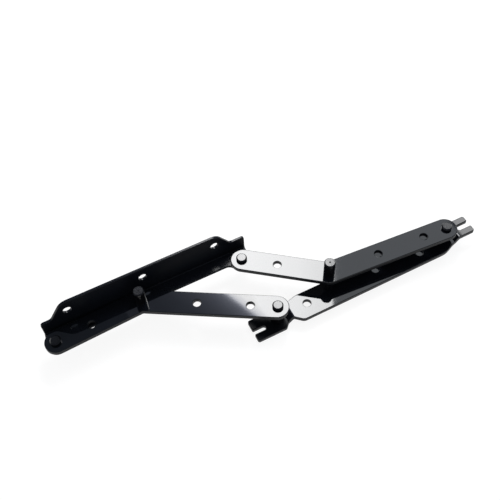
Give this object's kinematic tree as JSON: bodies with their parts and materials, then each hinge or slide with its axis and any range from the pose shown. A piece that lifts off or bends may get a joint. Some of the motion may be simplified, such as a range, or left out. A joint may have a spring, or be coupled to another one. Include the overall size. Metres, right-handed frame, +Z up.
{
  "type": "sofa bed hinge",
  "caption": "Folding parallelogram hinge for a sofa bed: two bent links between a forked base strip and an angle bracket that screws to the seat frame.",
  "frame": {"origin": "middle of the part in plan at rest, at the height of its lowest point, the tail of the base's left rivet", "axes": "+X along both brackets, +Y from the base bracket to the seat bracket, +Z up along the pivots"},
  "size_m": [0.4492, 0.1036, 0.0605],
  "materials": {
    "painted_sheet": "gloss",
    "painted_pins": "gloss",
    "painted_rings": "satin"
  },
  "bodies": {
    "base": {"base_bracket": "painted_sheet", "base_left_rivet": "painted_pins", "base_left_spacer": "painted_rings", "base_left_washer": "painted_rings", "base_left_tail_washer": "painted_rings", "base_right_rivet": "painted_pins", "base_right_spacer": "painted_rings", "base_right_washer": "painted_rings", "base_right_tail_washer": "painted_rings"},
    "far_link": {"far_link": "painted_sheet", "far_link_spring_post": "painted_pins"},
    "near_link": {"near_link": "painted_sheet", "near_link_spring_post": "painted_pins"},
    "seat": {"seat_bracket": "painted_sheet", "seat_left_rivet": "painted_pins", "seat_left_washer": "painted_rings", "seat_left_tail_washer": "painted_rings", "seat_right_rivet": "painted_pins", "seat_right_washer": "painted_rings", "seat_right_tail_washer": "painted_rings"}
  },
  "joints": [
    {"name": "base_far_hinge", "type": "hinge", "parent": "base", "child": "far_link", "pos_m": [-0.00738, -0.03512, 0.028], "axis": [0, 0, -1], "range_deg": [0, 144]},
    {"name": "base_near_hinge", "type": "hinge", "parent": "base", "child": "near_link", "pos_m": [0.19262, -0.03512, 0.028], "axis": [0, 0, -1], "range_deg": [0, 144]},
    {"name": "seat_hinge", "type": "hinge", "parent": "far_link", "child": "seat", "pos_m": [-0.21332, 0.0318, 0.028], "axis": [0, 0, -1], "range_deg": [-144, 0]}
  ],
  "couplings": [
    {"joint": "base_near_hinge", "follows": "base_far_hinge", "ratio": 1},
    {"joint": "seat_hinge", "follows": "base_far_hinge", "ratio": -1}
  ]
}
